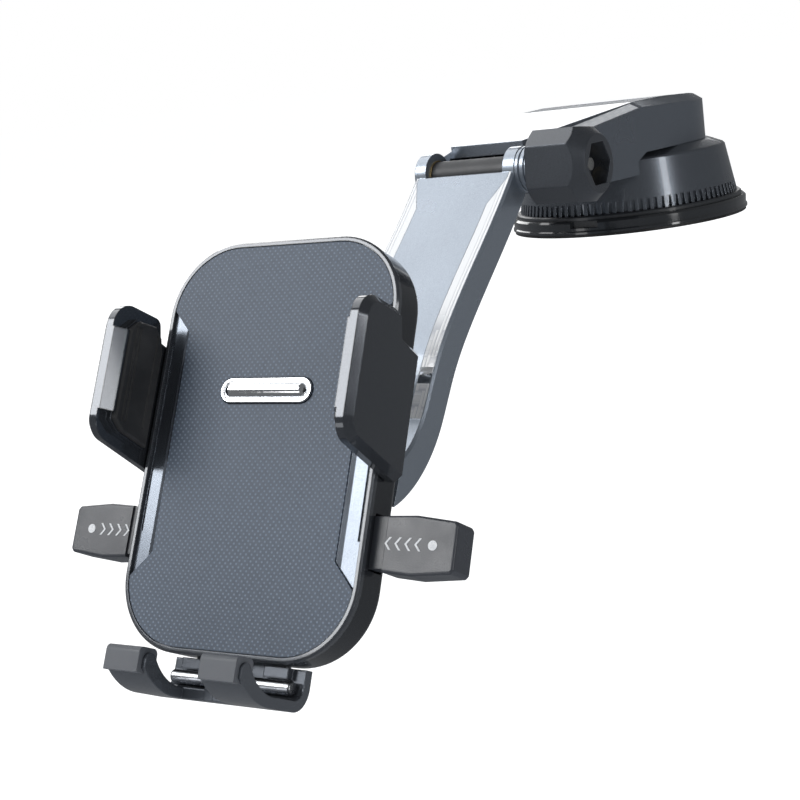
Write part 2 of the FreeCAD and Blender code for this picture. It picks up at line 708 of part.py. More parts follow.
def badge():
    base = stadium(27.0, 6.4, y_front - 0.5, y_seam, 12.9)
    base = base.makeChamfer(0.25, [e for e in base.Edges if e.CenterOfMass.y < y_front - 0.49])
    base = base.cut(stadium(25.4, 4.8, y_front - 1, y_front, 12.9))
    bar = cyl_x(2.0, -10.2, 10.2, y_front + 0.3, 12.9)
    ends = [Part.makeSphere(2.0, Vector(x, y_front + 0.3, 12.9)) for x in (-10.2, 10.2)]
    bar = bar.fuse(ends).common(box(-14, 14, y_front - 3, y_seam, 9, 17))
    return base.fuse(bar).removeSplitter()


# Clamp mechanism
def rack_tooth(shift, spread=0.0):
    """One rack tooth in XZ, pointing down at the pinion from above, with straight flanks."""
    pitch_line = pinion_z + tooth_m * pinion_teeth / 2
    slope = math.tan(math.radians(20))
    half = math.pi * tooth_m / 4 - 0.08 + spread
    tip, root = pitch_line - 0.9 * tooth_m - spread, pitch_line + 1.2 * tooth_m
    return [(shift - half + slope * 0.9, tip), (shift + half - slope * 0.9, tip),
            (shift + half + slope * 1.2, root), (shift - half - slope * 1.2, root)]


def slider_right():
    """The right clamp's slide: a wide root, a rack, and a lug that the opening spring pushes."""
    y0, y1 = -20.6, -18.2
    root_z = pinion_z + tooth_m * pinion_teeth / 2 + 1.2 * tooth_m
    bar = box(-20, 34.6, y0, y1, root_z, 19.0)
    wide = box(22.4, 34.6, y0, y1, -4.0, 21.0)
    teeth = [prism_xz(rack_tooth(math.pi * tooth_m * k), y0, y1) for k in range(-6, 2)]
    return bar.fuse([wide] + teeth), box(-20, -18, y0, y1, 18.5, 26.5)


def jaw_right():
    outline = [(jaw_front, -3.1), (jaw_front, 31.0), (-27.0, 31.0), (-25.4, 25.4),
               (jaw_rear, 24.2), (jaw_rear, -8.0)]
    plate = prism_yz(outline, jaw_in, jaw_out)
    corners = {(jaw_front, -3.1): 5.6, (jaw_front, 31.0): 6.4, (-27.0, 31.0): 2.2}
    for (y, z), radius in corners.items():
        plate = plate.makeFillet(radius, [e for e in plate.Edges if abs(e.CenterOfMass.y - y) < 0.01
                                          and abs(e.CenterOfMass.z - z) < 0.01])
    outer = [e for e in plate.Edges if abs(e.CenterOfMass.x - jaw_out) < 0.01
             and e.CenterOfMass.y < jaw_rear - 1]
    plate = plate.makeChamfer(1.7, outer)
    inner = [(-40.6, 1.0), (-40.6, 24.5), (-37.4, 27.8), (-31.0, 28.4), (-28.2, 26.0),
             (-26.8, 22.0), (-26.8, -3.2), (-37.0, -1.4)]
    carrier = prism_yz(inner, pad_in + 1.5, jaw_in + 0.1)
    lip = prism_xy([(jaw_in + 0.1, jaw_front), (33.9, jaw_front), (31.9, -41.2), (31.9, -40.6),
                    (jaw_in + 0.1, -40.6)], 3.0, 24.0)
    return plate.fuse([carrier, lip])


def clamp_arm_right():
    slide, lug = slider_right()
    return jaw_right().fuse([slide, lug]).removeSplitter()


def clamp_arm_left():
    slide, _ = slider_right()
    slide.rotate(Vector(0, 0, pinion_z), Y, 180)
    slide = slide.cut(box(-40, -20.5, -25, -10, -20, 40))
    wide = box(-34.6, -20.4, -20.6, -18.2, -4.0, 21.0).cut(box(-22.4, -20, -25, -10, 3.0, 40))
    wide = wide.cut(box(-22.4, -20, -25, -10, -20, -3.0))
    return mirror(jaw_right()).fuse([slide, wide]).removeSplitter()


def arm_pad(side):
    body = prism_yz([(-40.4, 1.4), (-40.4, 24.2), (-37.3, 27.2), (-31.2, 27.8), (-28.5, 25.6),
                     (-27.2, 21.8), (-27.2, -2.7), (-37.0, -1.0)], pad_in, pad_in + 1.5)
    inner = [e for e in body.Edges if abs(e.CenterOfMass.x - pad_in) < 0.01]
    body = body.makeChamfer(0.5, inner)
    for y in (-38.3, -36.9, -30.2):
        body = body.cut(cyl_z(0.45, 1.5, 25.5, pad_in - 0.05, y))
    return body if side > 0 else mirror(body)


def pinion():
    """A pinion cut by its own rack at many positions, with a ratchet wheel behind it."""
    r_pitch = tooth_m * pinion_teeth / 2
    centre = Vector(0, 0, pinion_z)
    blank = cyl_y(r_pitch + 0.9 * tooth_m, -20.6, -18.0, 0, pinion_z)
    cutters = []
    for step in range(-9, 10):
        shift = 0.5 * step
        tool = prism_xz(rack_tooth(shift, 0.1), -21, -17.9)
        tool.rotate(centre, Y, -math.degrees(shift / r_pitch))
        cutters.append(tool)
    gap = cutters[0].fuse(cutters[1:])
    for i in range(pinion_teeth):
        g = gap.copy()
        g.rotate(centre, Y, 360.0 * i / pinion_teeth)
        blank = blank.cut(g)
    teeth, tip, root = 24, 8.0, 7.3
    points = []
    for i in range(teeth):
        a, b = math.radians(360.0 * i / teeth), math.radians(360.0 * (i + 0.92) / teeth)
        points.append((root * math.cos(a), pinion_z + root * math.sin(a)))
        points.append((tip * math.cos(b), pinion_z + tip * math.sin(b)))
    wheel = prism_xz(points, -18.0, -15.9)
    return blank.fuse(wheel).cut(cyl_y(1.56, -22, -14, 0, pinion_z))


def pinion_pin():
    return cyl_y(1.5, -21.6, -14.2, 0, pinion_z)


def pawl(side):
    """A ratchet pawl on its pin: nose beside the wheel, tail on the button's stem."""
    tip = (8.14 * math.cos(math.radians(-20)), pinion_z + 8.14 * math.sin(math.radians(-20)))
    blade = prism_xz([tip, (tip[0] + 2.4, tip[1] + 0.5), (15.0, -7.0), (15.9, -20.6),
                      (13.7, -21.6), (11.6, -9.0)], -17.6, -15.9)
    body = blade.fuse(cyl_y(2.6, -17.6, -15.9, 13.0, -8.0)).cut(cyl_y(1.16, -19, -14, 13.0, -8.0))
    return body if side > 0 else mirror(body)


def pawl_pins():
    pin = cyl_y(1.1, -17.9, -14.2, 13.0, -8.0)
    return group([pin, mirror(pin)])


def opening_spring():
    return coil(1.7, 0.35, 1.9, 11.0, (-31.7, -19.4, 24.2), X)


def release_button(side):
    outline = [(37.6, -16.2), (45.0, -15.9), (55.2, -16.9), (55.9, -17.8), (55.9, -28.0),
               (55.2, -28.9), (45.0, -29.9), (37.6, -29.4)]
    head = prism_xz(outline, -21.0, -12.6)
    head = head.makeFillet(0.7, [e for e in head.Edges if e.CenterOfMass.x > 37.7])
    stem = box(26.6, 38.0, -20.5, -15.2, -28.6, -16.4)
    stop = box(30.8, 32.0, -20.9, -14.9, -30.4, -15.2)
    nose = box(16.5, 27.0, -19.4, -15.9, -21.4, -19.4)
    body = head.fuse([stem, stop, nose]).removeSplitter()
    return body if side > 0 else mirror(body)


def button_spring(side):
    spring = coil(1.5, 0.3, 1.5, 6.2, (20.0, -18.2, -25.0), X)
    return spring if side > 0 else mirror(spring)


# Foot tray
def foot_tray():
    def arc(p, q, r):
        return Part.Arc(Vector(0, *p), Vector(0, *q), Vector(0, *r)).toShape()

    def line(p, q):
        return Part.makeLine(Vector(0, *p), Vector(0, *q))
    back, front, top = -14.6, -17.2, -52.6
    c = (-20.6, -56.6)
    k = math.sqrt(0.5)
    edges = [line((back, top), (back, c[1])),
             arc((back, c[1]), (c[0] + 6 * k, c[1] - 6 * k), (c[0], c[1] - 6)),
             line((c[0], c[1] - 6), (-30.5, c[1] - 6)),
             arc((-30.5, c[1] - 6), (-37.6, -60.9), (-42.6, -57.4)),
             line((-42.6, -57.4), (-42.6, -55.2)),
             arc((-42.6, -55.2), (-41.2, -53.9), (-39.4, -54.4)),
             arc((-39.4, -54.4), (-33.2, -59.2), (-27.0, c[1] - 3.4)),
             line((-27.0, c[1] - 3.4), (c[0], c[1] - 3.4)),
             arc((c[0], c[1] - 3.4), (c[0] + 3.4 * k, c[1] - 3.4 * k), (front, c[1])),
             line((front, c[1]), (front, top)), line((front, top), (back, top))]
    hook = Part.Face(Part.Wire(edges)).extrude(X * (2 * foot_half))
    hook.translate(X * -foot_half)
    window = box(-7.6, 7.6, -50, -27.5, -64, -50)
    hook = hook.cut(window)
    rib = box(-1.3, 1.3, -27.6, -21.0, -62.6, -58.9)
    plate = box(-12.8, 12.8, -17.2, -14.4, -53, -24.2)
    tabs = [box(s * 12.0 - 3.4, s * 12.0 + 3.4, -19.4, -17.2, -55.2, -52.6) for s in (1, -1)]
    return hook.fuse([plate, rib] + tabs).removeSplitter()


def foot_bar():
    bar = cyl_x(1.7, -17.4, 17.4, -19.2, -57.2)
    return bar.makeFillet(0.6, [e for e in bar.Edges if e.Closed])


def foot_caps():
    tray = foot_tray()
    cap = box(8.6, 18.4, -44.0, -37.6, -58.6, -52.7)
    cap = cap.makeFillet(1.4, [e for e in cap.Edges if abs(e.tangentAt(e.FirstParameter).x) > 0.9
                               and e.CenterOfMass.z > -54])
    cap = cap.cut(tray)
    largest = max(cap.Solids, key=lambda s: s.Volume)
    return group([largest, mirror(largest)])


PLACE = cradle_placement()
BASE = {
    "gel_pad": gel_pad, "suction_cup": suction_cup, "flange_ring": flange_ring,
    "pressure_ring": pressure_ring, "base_shell": base_shell, "base_screws": base_screws,
    "cam_plate": cam_plate, "neck_frame": neck_frame, "upper_housing": upper_housing,
    "head_strip_left": lambda: head_strip(-1), "head_strip_right": lambda: head_strip(1),
    "name_plate": name_plate, "stem": stem, "stem_spring": stem_spring, "lever_pin": lever_pin,
    "lock_lever": lock_lever, "arm_body": arm_body, "arm_back_cover": arm_back_cover,
    "arm_cover_screws": arm_cover_screws, "arm_strip_left": lambda: arm_strip(-1),
    "arm_strip_right": lambda: arm_strip(1), "hinge_bolt": hinge_bolt,
    "friction_washers": friction_washers, "ball_stud": ball_stud, "stud_screw": stud_screw,
    "clamp_knob": clamp_knob, "knob_insert": knob_insert, "thrust_washer": thrust_washer,
}
CRADLE = {
    "ball_liner_rear": lambda: ball_liner(77, 86), "ball_liner_front": lambda: ball_liner(105, 179),
    "collar_nut": collar_nut, "ball_socket": ball_socket, "socket_screws": socket_screws,
    "rear_shell": rear_shell, "case_screws": case_screws, "front_frame": front_frame,
    "front_pad": front_pad, "side_trim_left": lambda: side_trim(-1),
    "side_trim_right": lambda: side_trim(1), "badge": badge, "pinion_pin": pinion_pin,
    "pawl_pins": pawl_pins, "opening_spring": opening_spring, "pinion": pinion,
    "clamp_arm_left": clamp_arm_left, "clamp_arm_right": clamp_arm_right,
    "arm_pad_left": lambda: arm_pad(-1), "arm_pad_right": lambda: arm_pad(1),
    "release_button_left": lambda: release_button(-1),
    "release_button_right": lambda: release_button(1),
    "button_spring_left": lambda: button_spring(-1), "button_spring_right": lambda: button_spring(1),
    "pawl_left": lambda: pawl(-1), "pawl_right": lambda: pawl(1), "foot_tray": foot_tray,
    "foot_bar": foot_bar, "foot_caps": foot_caps,
}
for node, make in BASE.items():
    save(node, make())
for node, make in CRADLE.items():
    save(node, make(), PLACE)
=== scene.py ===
import math
import bpy
from mathutils import Euler, Matrix, Vector


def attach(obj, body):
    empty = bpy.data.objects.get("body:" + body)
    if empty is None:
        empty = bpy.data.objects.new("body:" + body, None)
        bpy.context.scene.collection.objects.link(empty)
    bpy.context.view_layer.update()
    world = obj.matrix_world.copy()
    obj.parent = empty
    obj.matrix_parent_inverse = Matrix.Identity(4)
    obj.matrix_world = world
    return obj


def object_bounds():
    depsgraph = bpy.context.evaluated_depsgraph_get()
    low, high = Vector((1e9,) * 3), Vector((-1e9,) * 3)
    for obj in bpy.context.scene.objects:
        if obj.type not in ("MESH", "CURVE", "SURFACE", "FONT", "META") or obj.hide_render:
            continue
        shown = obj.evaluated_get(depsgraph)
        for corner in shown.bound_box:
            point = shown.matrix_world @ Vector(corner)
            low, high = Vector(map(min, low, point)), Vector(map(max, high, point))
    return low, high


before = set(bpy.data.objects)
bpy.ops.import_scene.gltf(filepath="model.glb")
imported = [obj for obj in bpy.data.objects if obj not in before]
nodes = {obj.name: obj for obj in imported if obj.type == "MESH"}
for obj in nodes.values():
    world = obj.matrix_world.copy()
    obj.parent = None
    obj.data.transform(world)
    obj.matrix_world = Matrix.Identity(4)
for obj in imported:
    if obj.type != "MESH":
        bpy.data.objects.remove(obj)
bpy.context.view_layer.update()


# The suction foot. A tacky black gel sheet is bonded to a moulded rubber cup, which a gloss
# black flange rings. The cup is dusted by use, so its sheen is uneven.
class Value:
    """A socket of a finish's nodes. Arithmetic on it adds Math nodes."""

    def __init__(self, finish, socket):
        self.finish, self.socket = finish, socket

    def maths(self, operation, *terms):
        return self.finish.add("ShaderNodeMath", {"operation": operation}, dict(enumerate(terms)))

    def __add__(self, other):
        return self.maths("ADD", self, other)

    def __sub__(self, other):
        return self.maths("SUBTRACT", self, other)

    def __rsub__(self, other):
        return self.maths("SUBTRACT", other, self)

    def __mul__(self, other):
        return self.maths("MULTIPLY", self, other)

    def __lt__(self, other):
        return self.maths("LESS_THAN", self, other)

    __radd__, __rmul__ = __add__, __mul__


class Finish:
    """A surface finish, built round one Principled shader."""

    def __init__(self, name, colour, roughness, fixed=()):
        self.material = bpy.data.materials.new(name)
        self.material.use_nodes = True
        self.tree = self.material.node_tree
        self.shader = self.tree.nodes["Principled BSDF"]
        self.colour, self.roughness = colour, roughness
        self.shader.inputs["Base Color"].default_value = (*colour, 1)
        self.shader.inputs["Roughness"].default_value = roughness
        for socket, amount in dict(fixed).items():
            self.shader.inputs[socket].default_value = amount

    def add(self, kind, settings, feeds, output=0):
        made = self.tree.nodes.new(kind)
        for name, setting in settings.items():
            setattr(made, name, setting)
        for name, feed in feeds.items():
            if isinstance(feed, Value):
                self.tree.links.new(feed.socket, made.inputs[name])
            else:
                made.inputs[name].default_value = feed
        return Value(self, made.outputs[output])

    def feed(self, socket, value):
        self.tree.links.new(value.socket, self.shader.inputs[socket])

    def place(self):
        return self.add("ShaderNodeTexCoord", {}, {}, "Object")

    def noise(self, scale, detail=2.0):
        return self.add("ShaderNodeTexNoise", {}, {"Vector": self.place(), "Scale": scale,
                                                   "Detail": detail}, "Fac")

    def ease(self, value, low, high, to_low, to_high):
        return self.add("ShaderNodeMapRange", {"clamp": True}, {
            "Value": value, "From Min": low, "From Max": high, "To Min": to_low, "To Max": to_high})

    def mixed(self, share, colour_a, colour_b):
        return self.add("ShaderNodeMix", {"data_type": "RGBA"}, {
            0: share, 6: colour_a if isinstance(colour_a, Value) else (*colour_a, 1),
            7: colour_b if isinstance(colour_b, Value) else (*colour_b, 1)}, 2)

    def soft_edges(self, radius):
        return self.add("ShaderNodeBevel", {"samples": 6}, {"Radius": radius})

    def edge_mask(self, edges, gain):
        """High where the softened normal leaves the true one: along the part's edges."""
        true = self.add("ShaderNodeNewGeometry", {}, {}, "Normal")
        along = self.add("ShaderNodeVectorMath", {"operation": "DOT_PRODUCT"}, {0: true, 1: edges},
                         "Value")
        return self.ease((1 - along) * gain, 0.0, 1.0, 0.0, 1.0)

    def relief(self, height, depth, normal=None):
        feeds = {"Height": height, "Strength": 1.0, "Distance": depth}
        if normal is not None:
            feeds["Normal"] = normal
        self.feed("Normal", self.add("ShaderNodeBump", {}, feeds))

    def put_on(self, *names):
        for name in names:
            mesh = nodes[name].data
            mesh.materials.clear()
            mesh.materials.append(self.material)


def rubber(name, colour, roughness, dust):
    """Moulded rubber: a fine sandy grain, and pale dust in soft patches."""
    made = Finish(name, colour, roughness, {"Specular IOR Level": 0.35})
    patches = made.ease(made.noise(90.0, 4.0), 0.42, 0.68, 0.0, 1.0)
    pale = tuple(c + dust for c in colour)
    made.feed("Base Color", made.mixed(patches, colour, pale))
    made.feed("Roughness", made.ease(patches, 0.0, 1.0, roughness, min(1.0, roughness + 0.15)))
    made.relief(made.noise(5200.0, 3.0), 0.00006, made.soft_edges(0.0003))
    return made


rubber("foot_gel", (0.012, 0.012, 0.013), 0.28, 0.01).put_on("gel_pad")
rubber("cup_rubber", (0.018, 0.018, 0.019), 0.6, 0.02).put_on("suction_cup")


def lacquer(name, colour, roughness, metallic, coat, edge_radius=0.00035, texture=0.0000014):
    """Gunmetal paint on plastic: tiny flakes, a faint orange peel, and paler rubbed edges."""
    made = Finish(name, colour, roughness, {
        "Metallic": metallic, "Coat Roughness": 0.06, "Coat Weight": coat})
    edges = made.soft_edges(edge_radius)
    flakes = made.ease(made.noise(7800.0, 1.0), 0.35, 0.65, 0.82, 1.18)
    dark = tuple(c * 0.8 for c in colour)
    light = tuple(min(1.0, c * 1.25) for c in colour)
    painted = made.mixed(made.ease(flakes, 0.82, 1.18, 0.0, 1.0), dark, light)
    rubbed = made.edge_mask(edges, 1.2) * made.ease(made.noise(420.0, 3.0), 0.35, 0.6, 0.15, 0.6)
    made.feed("Base Color", made.mixed(rubbed, painted, tuple(min(1.0, c * 1.9) for c in colour)))
    cloudy = made.ease(made.noise(55.0, 3.0), 0.3, 0.7, -0.035, 0.035)
    made.feed("Roughness", roughness + cloudy + rubbed * 0.06)
    made.relief(made.noise(1500.0, 2.0) + 0.4 * flakes, texture, edges)
    return made


lacquer("flange_gloss_black", (0.016, 0.018, 0.021), 0.13, 0.0, 0.9).put_on("flange_ring")


# The base. A satin ring presses the cup's rim down, and the ribbed skirt of the gunmetal shell
# turns on it by hand. Both are injection moulded, and the shell is painted.
lacquer("ring_satin", (0.03, 0.033, 0.037), 0.34, 0.1, 0.2).put_on("pressure_ring")
lacquer("shell_gunmetal", (0.13, 0.145, 0.168), 0.24, 0.75, 0.55).put_on("base_shell")


def steel(name, colour, roughness, scratch_scale):
    """Plated or ground steel, with fine marks drawn out along one direction."""
    made = Finish(name, colour, roughness, {"Metallic": 1.0})
    drawn = made.add("ShaderNodeMapping", {}, {"Vector": made.place(), "Scale": (0.06, 1.0, 1.0)})
    marks = made.add("ShaderNodeTexNoise", {}, {"Vector": drawn, "Scale": scratch_scale,
                                                "Detail": 3.0}, "Fac")
    made.feed("Roughness", made.ease(marks, 0.3, 0.7, roughness * 0.75, roughness * 1.5))
    made.feed("Base Color", made.mixed(made.ease(marks, 0.4, 0.6, 0.0, 1.0), colour,
                                       tuple(c * 0.82 for c in colour)))
    made.relief(marks, 0.000012, made.soft_edges(0.0002))
    return made


steel("ground_steel", (0.6, 0.61, 0.62), 0.22, 5200.0).put_on(
    "lever_pin", "cam_plate", "thrust_washer", "pinion_pin", "pawl_pins")
steel("zinc_screws", (0.62, 0.62, 0.6), 0.3, 3800.0).put_on(
    "base_screws", "arm_cover_screws", "hinge_bolt", "stud_screw", "socket_screws", "case_screws")
steel("spring_wire", (0.5, 0.5, 0.52), 0.25, 6400.0).put_on(
    "stem_spring", "opening_spring", "button_spring_left", "button_spring_right")


# The neck. A black moulded frame carries the hinge tube, and a painted cover closes it, with the
# locking lever let into its deck behind the finger slot.
def moulded(name, colour, roughness):
    """Bare moulded plastic with a spark-eroded grain."""
    made = Finish(name, colour, roughness)
    edges = made.soft_edges(0.0003)
    grain = made.noise(3600.0, 4.0)
    made.feed("Base Color", made.mixed(made.ease(grain, 0.35, 0.65, 0.0, 1.0), colour,
                                       tuple(c * 1.25 for c in colour)))
    made.feed("Roughness", made.ease(made.noise(160.0, 3.0), 0.3, 0.7, roughness - 0.05,
                                     roughness + 0.07))
    made.relief(grain, 0.00003, edges)
    return made


moulded("black_frame", (0.03, 0.032, 0.036), 0.45).put_on("neck_frame", "stem", "ball_socket")
lacquer("housing_gunmetal", (0.17, 0.192, 0.225), 0.26, 0.75, 0.5).put_on("upper_housing")
lacquer("lever_gunmetal", (0.16, 0.18, 0.21), 0.22, 0.8, 0.5).put_on("lock_lever")
lacquer("blank_plate", (0.34, 0.355, 0.375), 0.2, 0.5, 0.5).put_on("name_plate")


# The silver inlays along the neck's deck and down the arm: a fine woven fibre under clear
# lacquer. Each tow passes over two and under two, so the cloth shows small slanted ribs.
def woven_inlay(name, tilt):
    made = Finish(name, (0.8, 0.82, 0.85), 0.28, {
        "Metallic": 0.1, "Coat Roughness": 0.05, "Coat Weight": 0.6})
    cloth = made.add("ShaderNodeMapping", {"vector_type": "TEXTURE"},
                     {"Vector": made.place(), "Rotation": (tilt, 0, 0)})
    across = made.add("ShaderNodeSeparateXYZ", {}, {0: cloth}, 0)
    along = made.add("ShaderNodeSeparateXYZ", {}, {0: cloth}, 1)
    tow = 900.0
    columns = (across * tow).maths("FRACT", across * tow)
    rows = (along * tow).maths("FRACT", along * tow)
    step = (across * tow).maths("FLOOR", across * tow) + (along * tow).maths("FLOOR", along * tow)
    over = (step * 0.25).maths("FRACT", step * 0.25) < 0.45
    crown_a = columns * (1 - columns) * 4
    crown_b = rows * (1 - rows) * 4
    crown = crown_a * over + crown_b * (1 - over)
    # Painted shade and painted highlight: each tow's colour is lighter on its crown and darker towards
    # its sides, and lighter where it passes over than where it passes under.
    painted_tow_shade = made.ease(crown * (0.75 + 0.25 * over), 0.1, 0.9, 0.0, 1.0)
    made.feed("Base Color", made.mixed(painted_tow_shade, (0.55, 0.58, 0.63), (0.9, 0.92, 0.94)))
    made.feed("Roughness", made.ease(crown, 0.0, 1.0, 0.42, 0.24))
    made.relief(crown, 0.00006, made.soft_edges(0.0002))
    return made


neck_slope = math.radians(-7.0)
arm_slope = math.radians(-50.0)
woven_inlay("neck_weave", neck_slope).put_on("head_strip_left", "head_strip_right")
woven_inlay("arm_weave", arm_slope).put_on("arm_strip_left", "arm_strip_right")


# The folding arm: a painted half-shell with a moulded cover behind it, turning on a zinc-plated
# bolt between two brass friction washers.
lacquer("arm_gunmetal", (0.3, 0.34, 0.395), 0.3, 0.75, 0.5).put_on("arm_body", "arm_back_cover")
brass = steel("turned_brass", (0.78, 0.6, 0.32), 0.28, 4200.0)
brass.put_on("friction_washers", "knob_insert")


# The clamping knob: a square bar with its corners cut, satin, with a hexagonal socket.
lacquer("knob_satin", (0.062, 0.069, 0.081), 0.28, 0.6, 0.5, 0.0006).put_on("clamp_knob")


# The ball joint: a smooth acetal ball in two friction cups, drawn in by a ribbed collar nut.
moulded("ball_acetal", (0.02, 0.021, 0.023), 0.22).put_on("ball_stud")
moulded("friction_cups", (0.22, 0.225, 0.23), 0.6).put_on("ball_liner_rear", "ball_liner_front")
moulded("collar_grip", (0.028, 0.03, 0.034), 0.42).put_on("collar_nut")


# The cradle's case: a painted rear shell and a front frame with a glossier lip.
lacquer("case_gunmetal", (0.022, 0.025, 0.03), 0.2, 0.5, 0.7).put_on("rear_shell")
lacquer("frame_gunmetal", (0.055, 0.061, 0.071), 0.17, 0.4, 0.8, 0.0004).put_on("front_frame")


# The pad on the cradle's face: soft rubber with a printed and embossed field of small diamonds,
# set square to the cradle, which leans and turns about the ball.
ball_centre = (0.0, -0.185, -0.0345)
cradle_turn = (math.radians(-30.0), 0.0, math.radians(6.0))
diamond_pitch = 0.00162


def cradle_place(made):
    return made.add("ShaderNodeMapping", {"vector_type": "TEXTURE"}, {
        "Vector": made.place(), "Location": ball_centre, "Rotation": cradle_turn})


pad = Finish("diamond_pad", (0.1, 0.14, 0.195), 0.5, {"Specular IOR Level": 0.4})
spot = cradle_place(pad)
cell_x = pad.add("ShaderNodeSeparateXYZ", {}, {0: spot}, 0) * (1 / diamond_pitch)
cell_z = pad.add("ShaderNodeSeparateXYZ", {}, {0: spot}, 2) * (1 / diamond_pitch)
wave_x = (cell_x * math.tau).maths("COSINE", cell_x * math.tau)
wave_z = (cell_z * math.tau).maths("COSINE", cell_z * math.tau)
field = (wave_x * wave_z) * 0.5 + 0.5
diamonds = pad.ease(field, 0.62, 0.97, 0.0, 1.0)
worn = pad.ease(pad.noise(260.0, 3.0), 0.3, 0.7, 0.75, 1.0)
ground = pad.mixed(pad.ease(pad.noise(900.0, 2.0), 0.3, 0.7, 0.0, 1.0),
                   (0.062, 0.081, 0.111), (0.076, 0.099, 0.134))
pad.feed("Base Color", pad.mixed(diamonds * worn, ground, (0.185, 0.232, 0.305)))
pad.feed("Roughness", pad.ease(diamonds, 0.0, 1.0, 0.52, 0.36))
pad.relief(diamonds + 0.15 * pad.noise(6000.0, 2.0), 0.00008, pad.soft_edges(0.0003))
pad.put_on("front_pad")


# The two facetted trims beside the pad, in polished metallic lacquer, and the chromed badge,
# which is a plain bar in a plain ring.
lacquer("trim_polished", (0.15, 0.17, 0.2), 0.24, 0.8, 0.2, 0.0002).put_on(
    "side_trim_left", "side_trim_right")
chrome = Finish("badge_chrome", (0.86, 0.87, 0.89), 0.06, {"Metallic": 1.0})
chrome.feed("Roughness", chrome.ease(chrome.noise(700.0, 4.0), 0.45, 0.75, 0.04, 0.13))
chrome.feed("Base Color", chrome.mixed(chrome.noise(60.0, 2.0), (0.8, 0.81, 0.83), (0.9, 0.91, 0.92)))
chrome.relief(chrome.noise(800.0, 2.0), 0.000004, chrome.soft_edges(0.0002))
chrome.put_on("badge")


# The side clamps, driven together by a pinion between two racks. The jaws are painted gloss
# with a polished chamfer, and each has a ribbed rubber pad.
lacquer("jaw_gloss", (0.05, 0.056, 0.066), 0.14, 0.6, 0.9, 0.0005).put_on(
    "clamp_arm_left", "clamp_arm_right")
rubber("jaw_rubber", (0.022, 0.023, 0.025), 0.55, 0.02).put_on(
    "arm_pad_left", "arm_pad_right")
rubber("cap_rubber", (0.09, 0.098, 0.112), 0.34, 0.02).put_on("foot_caps")
moulded("natural_acetal", (0.7, 0.69, 0.64), 0.4).put_on("pinion", "pawl_left", "pawl_right")


# The release buttons: satin grey blocks, each with four printed arrows that point at the cradle
# and a dot. The print is a thin raised ink.
moulded("button_satin", (0.036, 0.04, 0.048), 0.3).put_on(
    "release_button_left", "release_button_right")
ink = Finish("pale_ink", (0.62, 0.64, 0.66), 0.45)
ink.feed("Base Color", ink.mixed(ink.ease(ink.noise(2600.0, 3.0), 0.4, 0.6, 0.0, 1.0),
                                 (0.55, 0.57, 0.6), (0.68, 0.7, 0.72)))
ink.relief(ink.noise(4200.0, 2.0), 0.00001)
ink_thick = 0.00012
stroke_wide, stroke_rise, stroke_lean = 0.00055, 0.0015, 0.0012
dot_radius = 0.00115
button_face = -0.0210
button_mid = -0.0227
cradle_to_row = Matrix.Translation(ball_centre) @ Euler(cradle_turn).to_matrix().to_4x4()


def finish_print(name, side):
    """Stands the flat print up on the button's face and turns it with the cradle."""
    piece = bpy.context.object
    piece.name = piece.data.name = name
    thicken = piece.modifiers.new("ink", "SOLIDIFY")
    thicken.thickness, thicken.offset = ink_thick, 0.0
    bpy.ops.object.modifier_apply(modifier="ink")
    piece.data.transform(cradle_to_row)
    piece.data.materials.append(ink.material)
    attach(piece, "button_" + side)


def add_arrow(name, side, x, point):
    """A chevron: one slanted stroke, extruded on from its upper edge into the other stroke."""
    bpy.ops.object.select_all(action="DESELECT")
    bpy.ops.mesh.primitive_plane_add(size=1.0, rotation=(math.pi / 2, 0, 0))
    bpy.ops.object.transform_apply(location=False, rotation=True, scale=False)
    piece = bpy.context.object
    bpy.ops.object.mode_set(mode="EDIT")
    bpy.ops.transform.resize(value=(stroke_wide, 1.0, stroke_rise))
    bpy.ops.mesh.select_all(action="DESELECT")
    bpy.ops.object.mode_set(mode="OBJECT")
    upper = [v.index for v in piece.data.vertices if v.co.z > 0]
    for v in piece.data.vertices:
        v.select = v.index in upper
    for e in piece.data.edges:
        e.select = all(i in upper for i in e.vertices)
    bpy.ops.object.mode_set(mode="EDIT")
    bpy.ops.mesh.select_mode(type="EDGE")
    bpy.ops.transform.translate(value=(point * stroke_lean, 0, 0))
    bpy.ops.mesh.extrude_region_move(
        TRANSFORM_OT_translate={"value": (-point * stroke_lean, 0, stroke_rise)})
    bpy.ops.mesh.select_all(action="SELECT")
    bpy.ops.transform.translate(value=(x, button_face - 0.4 * ink_thick, button_mid - stroke_rise / 2))
    bpy.ops.object.mode_set(mode="OBJECT")
    finish_print(name, side)


def add_dot(name, side, x):
    bpy.ops.object.select_all(action="DESELECT")
    bpy.ops.mesh.primitive_circle_add(vertices=32, radius=dot_radius, fill_type="NGON",
                                      rotation=(math.pi / 2, 0, 0))
    bpy.ops.object.transform_apply(location=False, rotation=True, scale=False)
    bpy.ops.object.mode_set(mode="EDIT")
    bpy.ops.mesh.select_all(action="SELECT")
    bpy.ops.mesh.inset(thickness=0.0002)
    bpy.ops.mesh.select_all(action="SELECT")
    bpy.ops.transform.translate(value=(x, button_face - 0.4 * ink_thick, button_mid))
    bpy.ops.object.mode_set(mode="OBJECT")
    finish_print(name, side)


for side, sign in (("right", 1), ("left", -1)):
    for number, reach in enumerate((0.0390, 0.0416, 0.0442, 0.0468)):
        add_arrow("arrow_%s_%d" % (side, number + 1), side, sign * reach, -sign)
    add_dot("dot_" + side, side, sign * 0.0500)


# The foot that the phone stands on: one painted hook moulding on a sliding plate.
lacquer("foot_gunmetal", (0.11, 0.122, 0.142), 0.2, 0.6, 0.8, 0.0005).put_on("foot_tray")
steel("foot_bar_steel", (0.4, 0.41, 0.43), 0.2, 4200.0).put_on("foot_bar")


